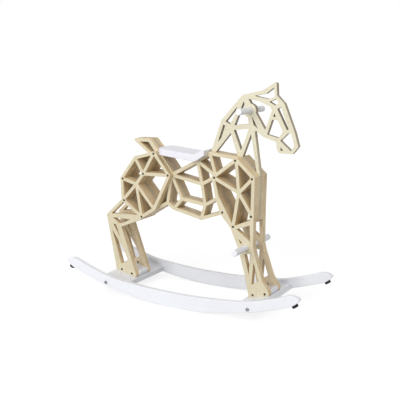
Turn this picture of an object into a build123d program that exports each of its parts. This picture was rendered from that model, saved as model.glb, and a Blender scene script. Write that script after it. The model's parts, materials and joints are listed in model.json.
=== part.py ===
"""Plywood rocking horse: a laminated lattice body on a pair of bow rockers.

Frame: +X is the way the horse looks, +Y its left side, +Z up.
The origin lies on the floor below the middle of the rockers.
All sizes are in millimetres.
"""

import os
from math import asin, cos, degrees, radians, sin, sqrt

from build123d import *

os.makedirs("parts", exist_ok=True)

# ---------------------------------------------------------------- sheets and struts
core_ply = 15.0  # the middle sheet, and the sheet laid on each side of it
leg_ply = 18.0  # the outer sheets, which carry the legs
strut = 10.0  # width of a lattice strut
outline_edge = 2.0  # radius on the corners of the head
pad = 7.0  # radius of the wood left round a body bolt

# ---------------------------------------------------------------- rockers
rocker_radius = 1030.0  # the curve that rolls on the floor
rocker_ply = 18.0
rocker_pitch = 242.5  # between the middles of the two rockers
rocker_arm = 30.0  # depth of a rocker towards its ends
rocker_middle = 43.0  # depth of a rocker at its middle
rocker_back = 1900.0  # radius of the flatter back over the middle
rocker_reach = 368.0  # from the middle to the end of the rolling curve
rocker_blend = 250.0  # radius where the flat back runs into an arm
tip_radius = 50.0  # the tighter curve under an upturned tip
tip_angle = 40.0  # how far round that curve the nose of a tip lies
nose_edge = 2.0
board_edge = 1.0  # eased edges of the painted boards

# ---------------------------------------------------------------- cross boards and blocks
board_width = 82.0
board_ply = 18.0
board_reach = 233.0  # from the middle of the rockers to the middle of a board
board_lift = 1.0  # underside of a board above the rolling curve
block_ply = 16.0  # spacer block between a pair of hooves
fore_hoof_in = -28.0  # ends of a front hoof, outwards along its board
fore_hoof_out = 39.0
hind_hoof_in = -37.0
hind_hoof_out = 40.0
toe_cut = 5.0  # the corner cut from the front of a hoof

# ---------------------------------------------------------------- dowels
rod_diameter = 18.0
rod_edge = 1.5
rod_clearance = 0.1  # radial clearance of a dowel in its sheet
handle_length = 152.0
handle_x = 180.0
handle_z = 572.0
handle_pad = 20.0  # radius of the wood left round the handle
rest_length = 221.0
rest_x = 189.0
rest_z = 185.5
rest_pad = 14.0

# ---------------------------------------------------------------- seat
seat_width = 90.0
seat_rear = -109.0
seat_rear_z = 453.0
seat_dip = 19.0  # the lowest line of the sitting surface
seat_dip_z = 441.0
seat_fold = 4.0  # the fold of the underside, ahead of the lowest line
seat_crest = 47.0  # where the upstand reaches its height
seat_crest_z = 455.0
seat_front = 54.0
seat_front_z = 440.0  # underside of the upstand at the front
seat_ply = 20.0
seat_corner = 22.0  # plan radius of the rear corners

# ---------------------------------------------------------------- fasteners
bolt_diameter = 4.0
bolt_head = 6.5
bolt_head_height = 3.0
bolt_stop = 34.0  # end of a body bolt beyond the middle of the core sheet
sleeve_diameter = 5.6
sleeve_length = 13.0
sleeve_depth = 8.0  # threaded bore of a sleeve nut
fit = 0.2  # radial clearance of a shank in its hole
thread_fit = 0.02  # radial clearance of a screwed or pressed joint
socket = 3.0  # across the flats of a hexagon socket
socket_depth = 2.0
screw_diameter = 4.0
screw_length = 32.0
screw_lift = 7.0  # hoof screws above the board
screw_spread = 39.0  # between the two screws of a hoof
leg_bolt_diameter = 5.0
leg_bolt_head = 9.0
leg_bolt_head_height = 4.0
leg_bolt_end = 3.0  # past the middle of its barrel nut
leg_bolt_out = 6.0  # leg bolts, outwards along their board
barrel_diameter = 8.0
barrel_length = 13.0
leg_barrel_lift = 21.0  # barrel nut in a hoof above the board
rocker_bolt_out = 12.0  # rocker bolt, outwards along its board
rocker_bolt_diameter = 5.0
rocker_bolt_head = 10.0
rocker_bolt_head_height = 3.5
rocker_bolt_edge = 1.2
rocker_barrel_in = 26.0  # barrel nut from the end of a board
pin_diameter = 8.0
pin_length = 30.0
pin_grip = 10.0  # how far a pin enters a rocker
pin_out = -18.0  # pin, outwards along its board

# ---------------------------------------------------------------- bumpers
bumper_diameter = 18.0
bumper_height = 7.0
bumper_edge = 1.5
bumper_angle = 12.0  # how far round the curve under a tip its bumper sits
bumper_screw_diameter = 3.5
bumper_screw_head = 7.0
bumper_screw_head_height = 2.5
bumper_screw_length = 16.0
bumper_recess = 3.5

# ---------------------------------------------------------------- layers, out from the middle
core_face = core_ply / 2
inner_face = core_face + core_ply
outer_face = inner_face + leg_ply
rocker_inner = (rocker_pitch - rocker_ply) / 2
rocker_outer = rocker_inner + rocker_ply


def across_rocker(reach, radius, way):
    """Plane square to the rolling curve: x outwards along it, z towards its centre."""
    angle = asin(reach / rocker_radius)
    spot = (way * radius * sin(angle), 0, rocker_radius - radius * cos(angle))
    return Plane(
        origin=spot,
        x_dir=(way * cos(angle), 0, sin(angle)),
        z_dir=(-way * sin(angle), 0, cos(angle)),
    )


fore_board_plane = across_rocker(board_reach, rocker_radius - board_lift, 1)
hind_board_plane = across_rocker(board_reach, rocker_radius - board_lift, -1)
fore_hoof_plane = fore_board_plane.offset(board_ply)
hind_hoof_plane = hind_board_plane.offset(board_ply)


def on_plane(plane, along, above=0.0):
    """Place in the XZ plane of a point given along and above a board."""
    spot = plane.from_local_coords((along, 0, above))
    return (spot.X, spot.Z)


# ---------------------------------------------------------------- joints of the lattice
node = {
    # rump
    "croup": (-121, 436),
    "croup_back": (-190, 417),
    "back_high": (-241, 350),
    "back_low": (-238, 282),
    "rump_hub": (-161, 370),
    "rump_cross": (-187, 336),
    "flank": (-68.5, 372),
    "groin": (-123, 265),
    "stifle": (-169, 236),
    "hock": (-297, 228),
    "knee": (-253, 203),
    # shoulder
    "withers": (156, 436),
    "shoulder": (82, 380),
    "chest": (210, 388),
    "breast": (208, 279),
    "breast_low": (208, 264),
    "shoulder_hub": (165, 342),
    "elbow": (147, 238),
    "girth": (110, 278),
    "girth_bend": (95, 327),
    "girth_high": (96, 318),
    # belly
    "loin": (-70, 371.5),
    "spine": (20, 420),
    "neck_back": (61, 445),
    "belly_hub": (35, 353),
    "belly_left": (-34, 302),
    "belly_right": (46, 292),
    "belly_rear": (-85, 285),
    "belly_low": (-62, 270),
    "belly_front": (33, 250),
    "girth_tie": (99, 323),
    # edge that carries the back of the seat
    "seat_rest": (-118, 438.5),
    "seat_rest_low": (-66, 374.5),
    # tail
    "dock": (-144, 431),
    "tail_tip": (-198, 470),
    "tail_front": (-149, 471),
}

# Body bolts, through all five sheets.
rump_bolts = [(-122, 434), (-237, 349), (-234, 281), (-161, 370), (-72, 372), (-169, 236)]
shoulder_bolts = [(153, 433), (86, 379), (206, 385), (205, 278), (148, 242), (113, 280)]

body_line = [
    "croup_back", "dock", "tail_tip", "tail_front", "seat_rest", "seat_rest_low", "spine",
    "neck_back", "withers", "chest", "breast_low", "elbow", "girth", "belly_front", "belly_low",
    "belly_rear", "groin", "stifle", "back_low", "back_high",
]
# Outer edges of the outer sheets, without the legs.
rump_line = [
    "croup", "flank", "groin", "stifle", "knee", "hock", "back_low", "back_high", "croup_back",
]
shoulder_line = [
    "withers", "chest", "breast_low", "elbow", "girth", "girth_high", "shoulder",
]

rump_cells = [
    ["croup", "croup_back", "rump_hub"],
    ["croup_back", "back_high", "rump_cross", "rump_hub"],
    ["croup", "rump_hub", "flank"],
    ["rump_hub", "rump_cross", "groin", "flank"],
    ["back_high", "back_low", "rump_cross"],
    ["back_low", "stifle", "rump_cross"],
    ["rump_cross", "stifle", "groin"],
]
shoulder_cells = [
    ["withers", "shoulder_hub", "shoulder"],
    ["withers", "chest", "shoulder_hub"],
    ["chest", "breast", "shoulder_hub"],
    ["shoulder_hub", "breast", "breast_low", "elbow"],
    ["shoulder", "shoulder_hub", "elbow", "girth_bend"],
]
belly_cells = [
    ["dock", "tail_tip", "tail_front", "croup"],
    ["loin", "groin", "belly_rear"],
    ["loin", "belly_rear", "belly_low", "belly_left"],
    ["loin", "belly_left", "belly_right", "belly_hub"],
    ["loin", "belly_hub", "spine"],
    ["spine", "belly_hub", "shoulder"],
    ["spine", "shoulder", "neck_back"],
    ["neck_back", "shoulder", "withers"],
    ["belly_hub", "belly_right", "girth_tie", "shoulder"],
    ["belly_left", "belly_low", "belly_front", "belly_right"],
    ["belly_right", "belly_front", "girth", "girth_tie"],
]
hock_cell = ["hock", "back_low", "stifle"]

# Outer edge of the neck and head, from the seat over the ears to the chest.
head_line = [
    (56, 446), (90, 541), (157, 615), (220, 629), (255, 651), (261, 649), (263, 616),
    (285, 595), (318, 516), (329, 479), (312, 458), (272, 458), (265, 466), (262, 489),
    (222, 501), (203, 515), (197, 515), (214, 403), (150, 430),
]
head_openings = [
    [(97, 529), (103, 526), (90, 490), (80, 479)],
    [(141, 581), (104, 538), (119, 531), (135, 562)],
    [(161, 597), (133, 529), (177, 535), (174, 560)],
    [(187, 557), (199, 535), (206, 523), (193, 533)],
    [(176, 604), (211, 598), (242, 585), (248, 575), (228, 521), (198, 568)],
    [(196, 613), (230, 620), (253, 637), (256, 612), (237, 605)],
    [(240, 598), (261, 607), (267, 594), (257, 589)],
    [(264, 579), (274, 585), (299, 526), (294, 523)],
    [(249, 549), (265, 549), (282, 519), (269, 500), (235, 508)],
    [(275, 493), (297, 514), (307, 514), (316, 481), (307, 466)],
    [(121, 506), (76, 452), (141, 449)],
    [(131, 515), (178, 521), (154, 459)],
    [(185, 506), (161, 444), (203, 406)],
]
eye = [(256, 567), (260, 558), (252, 558)]
nostril = [(276, 475), (284, 466), (276, 466)]

# Outer edge of the legs below the lattice.
hind_leg_line = [
    (-302, 228),
    on_plane(hind_hoof_plane, hind_hoof_out),
    on_plane(hind_hoof_plane, hind_hoof_in + toe_cut),
    on_plane(hind_hoof_plane, hind_hoof_in, toe_cut),
    (-247, 195), (-172, 226), (-166, 234),
]
hind_leg_openings = [
    [(-279, 222), (-210, 223), (-243, 207), (-254, 205)],
    [(-278, 202), (-267, 200), (-251, 159)],
    [
        (-282, 182),
        on_plane(hind_hoof_plane, 27.6, 73.4),
        on_plane(hind_hoof_plane, 3.2, 43.2),
        on_plane(hind_hoof_plane, 27.5, 24.2),
    ],
]
fore_leg_line = [
    (140, 238), (167, 177), (187, 105),
    on_plane(fore_hoof_plane, fore_hoof_in),
    on_plane(fore_hoof_plane, fore_hoof_out - toe_cut),
    on_plane(fore_hoof_plane, fore_hoof_out, toe_cut),
    (242, 121), (213, 190), (213, 278),
]
fore_leg_openings = [
    [(159, 236), (201, 252), (203, 205)],
    [(165, 209), (178, 199), (173, 195)],
    [(185, 166), (203, 169), (200, 109)],
    [
        (215, 145),
        on_plane(fore_hoof_plane, -11.5, 37.4),
        on_plane(fore_hoof_plane, 14.0, 45.8),
    ],
]

# Fasteners of the hooves, measured outwards along their boards.
fore_middle = (fore_hoof_in + fore_hoof_out) / 2
hind_middle = (hind_hoof_in + hind_hoof_out) / 2
fore_screws = [fore_middle - screw_spread / 2, fore_middle + screw_spread / 2]
hind_screws = [hind_middle - screw_spread / 2, hind_middle + screw_spread / 2]


def frame(names):
    """Closed shape whose outer edge lies half a strut outside the named joints."""
    with BuildSketch() as face:
        with BuildLine():
            Polyline(*[node[name] for name in names], close=True)
        make_face()
        offset(amount=strut / 2, kind=Kind.ARC)
    return face.sketch


def cell(names):
    """Opening between struts whose middles run through the named joints."""
    with BuildSketch() as face:
        with BuildLine():
            Polyline(*[node[name] for name in names], close=True)
        make_face()
        offset(amount=-strut / 2, kind=Kind.INTERSECTION)
    return face.sketch


def shape(points, radius=0.0):
    """Closed shape through points, with its corners rounded."""
    with BuildSketch() as face:
        with BuildLine():
            Polyline(*points, close=True)
        make_face()
        if radius:
            fillet(face.vertices(), radius)
    return face.sketch


def lattice(faces, openings, bolts):
    """Sheet made of faces, with openings that stay clear of the pads round its bolts."""
    with BuildSketch() as holes:
        for opening in openings:
            add(opening)
        with Locations(*bolts):
            Circle(pad, mode=Mode.SUBTRACT)
    with BuildSketch() as sheet:
        for face in faces:
            add(face)
        add(holes.sketch, mode=Mode.SUBTRACT)
    return sheet.sketch


def bores(places, diameter):
    """Round holes at places in the XZ plane."""
    with BuildSketch() as holes:
        with Locations(*places):
            Circle(diameter / 2)
    return holes.sketch


def sockets(places):
    """Hexagon sockets at places in the XZ plane."""
    with BuildSketch() as holes:
        with Locations(*places):
            RegularPolygon(socket / 2, 6, major_radius=False)
    return holes.sketch


# ---------------------------------------------------------------- sheets of the body
body_bolt_places = rump_bolts + shoulder_bolts
body_outline = frame(body_line)
body_openings = [cell(names) for names in rump_cells + shoulder_cells + belly_cells]
body_sheet = lattice([body_outline], body_openings, body_bolt_places)
hind_faces = [frame(rump_line), shape(hind_leg_line)]
hind_openings = [cell(names) for names in rump_cells + [hock_cell]]
fore_faces = [frame(shoulder_line), shape(fore_leg_line)]
fore_openings = [cell(names) for names in shoulder_cells]
handle_place = [(handle_x, handle_z)]
rest_place = [(rest_x, rest_z)]
fore_screw_places = [on_plane(fore_hoof_plane, along, screw_lift) for along in fore_screws]
hind_screw_places = [on_plane(hind_hoof_plane, along, screw_lift) for along in hind_screws]
fore_barrel_place = [on_plane(fore_hoof_plane, leg_bolt_out, leg_barrel_lift)]
hind_barrel_place = [on_plane(hind_hoof_plane, leg_bolt_out, leg_barrel_lift)]
screw_places = fore_screw_places + hind_screw_places
leg_middle = inner_face + leg_ply / 2
leg_bolt_spots = [(leg_bolt_out, leg_middle), (leg_bolt_out, -leg_middle)]
leg_bolt_rise = leg_barrel_lift + leg_bolt_end
rod_bore = rod_diameter + 2 * rod_clearance
bolt_bore = bolt_diameter + 2 * fit
sleeve_bore = sleeve_diameter + 2 * fit
head_bore = bolt_head + 2 * fit
screw_bore = screw_diameter + 2 * fit
leg_bolt_bore = leg_bolt_diameter + 2 * fit
barrel_bore = barrel_diameter + 2 * fit

with BuildPart() as core_sheet:
    with BuildSketch(Plane.XZ):
        add(shape(head_line, outline_edge))
        add(body_outline, mode=Mode.SUBTRACT)
        add(body_sheet)
        for points in head_openings:
            add(shape(points), mode=Mode.SUBTRACT)
        add(bores(handle_place, 2 * handle_pad))
        add(shape(eye), mode=Mode.SUBTRACT)
        add(shape(nostril), mode=Mode.SUBTRACT)
        add(bores(handle_place, rod_bore), mode=Mode.SUBTRACT)
        add(bores(body_bolt_places, bolt_bore), mode=Mode.SUBTRACT)
    extrude(amount=core_face, both=True)
core_sheet.part.label = "core_sheet"

with BuildPart() as right_inner_sheet:
    with BuildSketch(Plane.XZ.offset(core_face)):
        add(body_sheet)
        add(bores(body_bolt_places, bolt_bore), mode=Mode.SUBTRACT)
    extrude(amount=core_ply)
right_inner_sheet.part.label = "right_inner_sheet"

with BuildPart() as left_inner_sheet:
    mirror(right_inner_sheet.part, about=Plane.XZ)
left_inner_sheet.part.label = "left_inner_sheet"

with BuildPart() as right_hind_sheet:
    with BuildSketch(Plane.XZ.offset(inner_face)):
        add(lattice(hind_faces, hind_openings, rump_bolts))
        for points in hind_leg_openings:
            add(shape(points), mode=Mode.SUBTRACT)
        add(bores(rump_bolts, bolt_bore), mode=Mode.SUBTRACT)
        add(bores(hind_screw_places, screw_bore), mode=Mode.SUBTRACT)
    extrude(amount=leg_ply)
    with BuildSketch(Plane.XZ.offset(outer_face)):
        add(bores(rump_bolts + hind_screw_places, head_bore))
    extrude(amount=-bolt_head_height, mode=Mode.SUBTRACT)
    with BuildSketch(Plane.XZ.offset(inner_face)):
        add(bores(hind_barrel_place, barrel_bore))
    extrude(amount=barrel_length + fit, mode=Mode.SUBTRACT)
    with BuildSketch(hind_hoof_plane):
        with Locations(*leg_bolt_spots):
            Circle(leg_bolt_bore / 2)
    extrude(amount=leg_bolt_rise + fit, mode=Mode.SUBTRACT)
right_hind_sheet.part.label = "right_hind_sheet"

with BuildPart() as left_hind_sheet:
    mirror(right_hind_sheet.part, about=Plane.XZ)
    with BuildSketch(Plane.XZ.offset(-inner_face)):
        add(bores(rump_bolts, sleeve_bore))
    extrude(amount=-leg_ply, mode=Mode.SUBTRACT)
left_hind_sheet.part.label = "left_hind_sheet"

with BuildPart() as right_fore_sheet:
    with BuildSketch(Plane.XZ.offset(inner_face)):
        add(lattice(fore_faces, fore_openings, shoulder_bolts))
        for points in fore_leg_openings:
            add(shape(points), mode=Mode.SUBTRACT)
        add(bores(rest_place, 2 * rest_pad))
        add(bores(rest_place, rod_bore), mode=Mode.SUBTRACT)
        add(bores(shoulder_bolts, bolt_bore), mode=Mode.SUBTRACT)
        add(bores(fore_screw_places, screw_bore), mode=Mode.SUBTRACT)
    extrude(amount=leg_ply)
    with BuildSketch(Plane.XZ.offset(outer_face)):
        add(bores(shoulder_bolts + fore_screw_places, head_bore))
    extrude(amount=-bolt_head_height, mode=Mode.SUBTRACT)
    with BuildSketch(Plane.XZ.offset(inner_face)):
        add(bores(fore_barrel_place, barrel_bore))
    extrude(amount=barrel_length + fit, mode=Mode.SUBTRACT)
    with BuildSketch(fore_hoof_plane):
        with Locations(*leg_bolt_spots):
            Circle(leg_bolt_bore / 2)
    extrude(amount=leg_bolt_rise + fit, mode=Mode.SUBTRACT)
right_fore_sheet.part.label = "right_fore_sheet"

with BuildPart() as left_fore_sheet:
    mirror(right_fore_sheet.part, about=Plane.XZ)
    with BuildSketch(Plane.XZ.offset(-inner_face)):
        add(bores(shoulder_bolts, sleeve_bore))
    extrude(amount=-leg_ply, mode=Mode.SUBTRACT)
left_fore_sheet.part.label = "left_fore_sheet"

# ---------------------------------------------------------------- dowels
with BuildPart() as handle_rod:
    with BuildSketch(Plane.XZ):
        add(bores(handle_place, rod_diameter))
    extrude(amount=handle_length / 2, both=True)
    chamfer(handle_rod.edges().filter_by(GeomType.CIRCLE), rod_edge)
handle_rod.part.label = "handle_rod"

with BuildPart() as foot_rest_rod:
    with BuildSketch(Plane.XZ):
        add(bores(rest_place, rod_diameter))
    extrude(amount=rest_length / 2, both=True)
    chamfer(foot_rest_rod.edges().filter_by(GeomType.CIRCLE), rod_edge)
foot_rest_rod.part.label = "foot_rest_rod"

# ---------------------------------------------------------------- seat
with BuildPart() as seat:
    with BuildSketch(Plane.XZ):
        with BuildLine():
            Polyline(
                (seat_rear, seat_rear_z),
                (seat_dip, seat_dip_z),
                (seat_crest, seat_crest_z),
                (seat_front, seat_crest_z),
                (seat_front, seat_front_z),
                (seat_dip + seat_fold, seat_dip_z - seat_ply),
                (seat_rear, seat_rear_z - seat_ply),
                close=True,
            )
        make_face()
    extrude(amount=seat_width / 2, both=True)
    fillet(seat.edges().filter_by(Axis.Z).group_by(Axis.X)[0], seat_corner)
    with BuildSketch(Plane.XZ):
        add(body_outline)
    extrude(amount=inner_face, both=True, mode=Mode.SUBTRACT)
seat.part.label = "seat"

# ---------------------------------------------------------------- rockers
arm_radius = rocker_radius - rocker_arm
end_angle = degrees(asin(rocker_reach / rocker_radius))
fore_end_plane = across_rocker(rocker_reach, rocker_radius, 1)
hind_end_plane = across_rocker(rocker_reach, rocker_radius, -1)
# The flat back meets the inner curve of the arms here.
back_centre = rocker_middle + rocker_back
meeting_sum = rocker_back**2 - back_centre**2 - arm_radius**2 + rocker_radius**2
meeting_z = meeting_sum / 2 / (rocker_radius - back_centre)
meeting_x = sqrt(arm_radius**2 - (rocker_radius - meeting_z) ** 2)
rocker_bolt_places = [
    on_plane(fore_board_plane, rocker_bolt_out, board_ply / 2),
    on_plane(hind_board_plane, rocker_bolt_out, board_ply / 2),
]
pin_places = [
    on_plane(fore_board_plane, pin_out, board_ply / 2),
    on_plane(hind_board_plane, pin_out, board_ply / 2),
]


def on_tip(end_plane, angle):
    """Plane square to the underside of a tip, at an angle round its curve."""
    turn = radians(angle)
    spot = (tip_radius * sin(turn), 0, tip_radius * (1 - cos(turn)))
    return Plane(
        origin=end_plane.from_local_coords(spot),
        x_dir=end_plane.x_dir * cos(turn) + end_plane.z_dir * sin(turn),
        z_dir=end_plane.z_dir * cos(turn) - end_plane.x_dir * sin(turn),
    )


fore_bumper_plane = on_tip(fore_end_plane, bumper_angle)
hind_bumper_plane = on_tip(hind_end_plane, bumper_angle)
bumper_rows = [(0, rocker_pitch / 2), (0, -rocker_pitch / 2)]

with BuildPart() as right_rocker:
    with BuildSketch(Plane.XZ.offset(rocker_inner)) as rocker_profile:
        with BuildLine():
            CenterArc((0, rocker_radius), rocker_radius, 270 - end_angle, 2 * end_angle)
            for end_plane in (fore_end_plane, hind_end_plane):
                nose = on_plane(on_tip(end_plane, tip_angle), 0)
                half_way = on_plane(on_tip(end_plane, tip_angle / 2), 0)
                along = (end_plane.x_dir.X, end_plane.x_dir.Z)
                ThreePointArc(on_plane(end_plane, 0), half_way, nose)
                TangentArc(on_plane(end_plane, 0, rocker_arm), nose, tangent=along)
            RadiusArc(
                on_plane(fore_end_plane, 0, rocker_arm), (meeting_x, meeting_z), arm_radius
            )
            RadiusArc((meeting_x, meeting_z), (-meeting_x, meeting_z), rocker_back)
            RadiusArc(
                (-meeting_x, meeting_z), on_plane(hind_end_plane, 0, rocker_arm), arm_radius
            )
        make_face()
        kinks = rocker_profile.vertices().filter_by_position(Axis.Y, meeting_z - 1, meeting_z + 1)
        fillet(kinks, rocker_blend)
        noses = rocker_profile.vertices().group_by(Axis.X)
        fillet(noses[0] + noses[-1], nose_edge)
    extrude(amount=rocker_ply)
    chamfer(right_rocker.faces().filter_by(Axis.Y).edges(), board_edge)
    with BuildSketch(Plane.XZ.offset(rocker_inner)):
        add(bores(rocker_bolt_places, rocker_bolt_diameter + 2 * fit))
    extrude(amount=rocker_ply, mode=Mode.SUBTRACT)
    with BuildSketch(Plane.XZ.offset(rocker_inner)):
        add(bores(pin_places, pin_diameter + 2 * thread_fit))
    extrude(amount=pin_grip + fit, mode=Mode.SUBTRACT)
    with BuildSketch(fore_bumper_plane, hind_bumper_plane):
        with Locations(*bumper_rows):
            Circle(bumper_screw_diameter / 2 + thread_fit)
    extrude(amount=bumper_screw_length, mode=Mode.SUBTRACT)
right_rocker.part.label = "right_rocker"

with BuildPart() as left_rocker:
    mirror(right_rocker.part, about=Plane.XZ)
left_rocker.part.label = "left_rocker"

# ---------------------------------------------------------------- cross boards and blocks
barrel_reach = rocker_inner - rocker_barrel_in
board_barrel_spots = [(rocker_bolt_out, barrel_reach), (rocker_bolt_out, -barrel_reach)]
board_barrel_depth = (board_ply + barrel_length) / 2
rocker_bolt_depth = rocker_barrel_in + leg_bolt_end

with BuildPart() as fore_board:
    with BuildSketch(fore_board_plane):
        Rectangle(board_width, 2 * rocker_inner)
    extrude(amount=board_ply)
    chamfer(fore_board.edges().filter_by(Axis.Y), board_edge)
    with BuildSketch(fore_board_plane):
        with Locations(*leg_bolt_spots):
            Circle(leg_bolt_bore / 2)
    extrude(amount=board_ply, mode=Mode.SUBTRACT)
    with BuildSketch(fore_board_plane):
        with Locations(*leg_bolt_spots):
            Circle(leg_bolt_head / 2 + fit)
    extrude(amount=leg_bolt_head_height, mode=Mode.SUBTRACT)
    with BuildSketch(fore_board_plane):
        with Locations(*board_barrel_spots):
            Circle(barrel_bore / 2)
    extrude(amount=board_barrel_depth, mode=Mode.SUBTRACT)
    with BuildSketch(Plane.XZ.offset(rocker_inner)) as bolt_ends:
        add(bores(rocker_bolt_places[:1], rocker_bolt_diameter + 2 * fit))
    extrude(amount=-rocker_bolt_depth - fit, mode=Mode.SUBTRACT)
    with BuildSketch(Plane.XZ.offset(-rocker_inner)):
        add(bolt_ends.sketch_local)
    extrude(amount=rocker_bolt_depth + fit, mode=Mode.SUBTRACT)
    with BuildSketch(Plane.XZ.offset(rocker_inner)) as pin_ends:
        add(bores(pin_places[:1], pin_diameter + 2 * thread_fit))
    extrude(amount=pin_grip - pin_length - fit, mode=Mode.SUBTRACT)
    with BuildSketch(Plane.XZ.offset(-rocker_inner)):
        add(pin_ends.sketch_local)
    extrude(amount=pin_length - pin_grip + fit, mode=Mode.SUBTRACT)
fore_board.part.label = "fore_board"

with BuildPart() as hind_board:
    mirror(fore_board.part, about=Plane.YZ)
hind_board.part.label = "hind_board"

fore_block_line = [
    on_plane(fore_hoof_plane, fore_hoof_in),
    on_plane(fore_hoof_plane, fore_hoof_out - toe_cut),
    on_plane(fore_hoof_plane, fore_hoof_out, toe_cut),
    on_plane(fore_hoof_plane, fore_hoof_out, block_ply),
    on_plane(fore_hoof_plane, fore_hoof_in, block_ply),
]
hind_block_line = [
    on_plane(hind_hoof_plane, hind_hoof_out),
    on_plane(hind_hoof_plane, hind_hoof_in + toe_cut),
    on_plane(hind_hoof_plane, hind_hoof_in, toe_cut),
    on_plane(hind_hoof_plane, hind_hoof_in, block_ply),
    on_plane(hind_hoof_plane, hind_hoof_out, block_ply),
]

with BuildPart() as fore_block:
    with BuildSketch(Plane.XZ):
        add(shape(fore_block_line))
    extrude(amount=inner_face, both=True)
    with BuildSketch(Plane.XZ):
        add(bores(fore_screw_places, screw_diameter + 2 * thread_fit))
    extrude(amount=inner_face, both=True, mode=Mode.SUBTRACT)
fore_block.part.label = "fore_block"

with BuildPart() as hind_block:
    with BuildSketch(Plane.XZ):
        add(shape(hind_block_line))
    extrude(amount=inner_face, both=True)
    with BuildSketch(Plane.XZ):
        add(bores(hind_screw_places, screw_diameter + 2 * thread_fit))
    extrude(amount=inner_face, both=True, mode=Mode.SUBTRACT)
hind_block.part.label = "hind_block"

# ---------------------------------------------------------------- bumpers
with BuildPart() as bumpers:
    with BuildSketch(fore_bumper_plane, hind_bumper_plane):
        with Locations(*bumper_rows):
            Circle(bumper_diameter / 2)
    extrude(amount=-bumper_height)
    chamfer(bumpers.edges().group_by(Axis.Z)[0], bumper_edge)
    with BuildSketch(fore_bumper_plane, hind_bumper_plane):
        with Locations(*bumper_rows):
            Circle(bumper_screw_diameter / 2 + fit)
    extrude(amount=-bumper_height, mode=Mode.SUBTRACT)
    with BuildSketch(
        fore_bumper_plane.offset(-bumper_height), hind_bumper_plane.offset(-bumper_height)
    ):
        with Locations(*bumper_rows):
            Circle(bumper_screw_head / 2 + fit)
    extrude(amount=bumper_recess, mode=Mode.SUBTRACT)
bumpers.part.label = "bumpers"

bumper_head_low = bumper_recess - bumper_height
with BuildPart() as bumper_screws:
    with BuildSketch(
        fore_bumper_plane.offset(bumper_head_low), hind_bumper_plane.offset(bumper_head_low)
    ):
        with Locations(*bumper_rows):
            Circle(bumper_screw_head / 2)
    extrude(amount=-bumper_screw_head_height)
    with BuildSketch(
        fore_bumper_plane.offset(bumper_head_low), hind_bumper_plane.offset(bumper_head_low)
    ):
        with Locations(*bumper_rows):
            Circle(bumper_screw_diameter / 2)
    extrude(amount=bumper_screw_length)
bumper_screws.part.label = "bumper_screws"

# ---------------------------------------------------------------- body bolts
with BuildPart() as body_bolts:
    with BuildSketch(Plane.XZ.offset(outer_face)):
        add(bores(body_bolt_places, bolt_head))
    extrude(amount=-bolt_head_height)
    with BuildSketch(Plane.XZ.offset(outer_face)):
        add(bores(body_bolt_places, bolt_diameter))
    extrude(amount=-outer_face - bolt_stop)
    with BuildSketch(Plane.XZ.offset(outer_face)):
        add(sockets(body_bolt_places))
    extrude(amount=-socket_depth, mode=Mode.SUBTRACT)
body_bolts.part.label = "body_bolts"

with BuildPart() as sleeve_nuts:
    with BuildSketch(Plane.XZ.offset(-outer_face)):
        add(bores(body_bolt_places, bolt_head))
    extrude(amount=bolt_head_height)
    with BuildSketch(Plane.XZ.offset(-outer_face)):
        add(bores(body_bolt_places, sleeve_diameter))
    extrude(amount=sleeve_length)
    with BuildSketch(Plane.XZ.offset(sleeve_length - outer_face)):
        add(bores(body_bolt_places, bolt_diameter + 2 * thread_fit))
    extrude(amount=-sleeve_depth, mode=Mode.SUBTRACT)
    with BuildSketch(Plane.XZ.offset(-outer_face)):
        add(sockets(body_bolt_places))
    extrude(amount=socket_depth, mode=Mode.SUBTRACT)
sleeve_nuts.part.label = "sleeve_nuts"

# ---------------------------------------------------------------- hoof fasteners
with BuildPart() as hoof_screws:
    with BuildSketch(Plane.XZ.offset(outer_face)):
        add(bores(screw_places, bolt_head))
    extrude(amount=-bolt_head_height)
    with BuildSketch(Plane.XZ.offset(outer_face)):
        add(bores(screw_places, screw_diameter))
    extrude(amount=-screw_length)
    with BuildSketch(Plane.XZ.offset(outer_face)):
        add(sockets(screw_places))
    extrude(amount=-socket_depth, mode=Mode.SUBTRACT)
    mirror(about=Plane.XZ)
hoof_screws.part.label = "hoof_screws"

with BuildPart() as leg_bolts:
    with BuildSketch(fore_board_plane, hind_board_plane):
        with Locations(*leg_bolt_spots):
            Circle(leg_bolt_head / 2)
    extrude(amount=leg_bolt_head_height)
    with BuildSketch(fore_board_plane, hind_board_plane):
        with Locations(*leg_bolt_spots):
            Circle(leg_bolt_diameter / 2)
    extrude(amount=board_ply + leg_bolt_rise)
    with BuildSketch(fore_board_plane, hind_board_plane):
        with Locations(*leg_bolt_spots):
            RegularPolygon(socket / 2, 6, major_radius=False)
    extrude(amount=socket_depth, mode=Mode.SUBTRACT)
leg_bolts.part.label = "leg_bolts"

with BuildPart() as leg_barrel_nuts:
    with BuildSketch(Plane.XZ.offset(inner_face)):
        add(bores(fore_barrel_place + hind_barrel_place, barrel_diameter))
    extrude(amount=barrel_length)
    mirror(about=Plane.XZ)
    with BuildSketch(fore_hoof_plane, hind_hoof_plane):
        with Locations(*leg_bolt_spots):
            Circle(leg_bolt_diameter / 2 + thread_fit)
    extrude(amount=leg_barrel_lift + barrel_diameter, mode=Mode.SUBTRACT)
leg_barrel_nuts.part.label = "leg_barrel_nuts"

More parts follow.
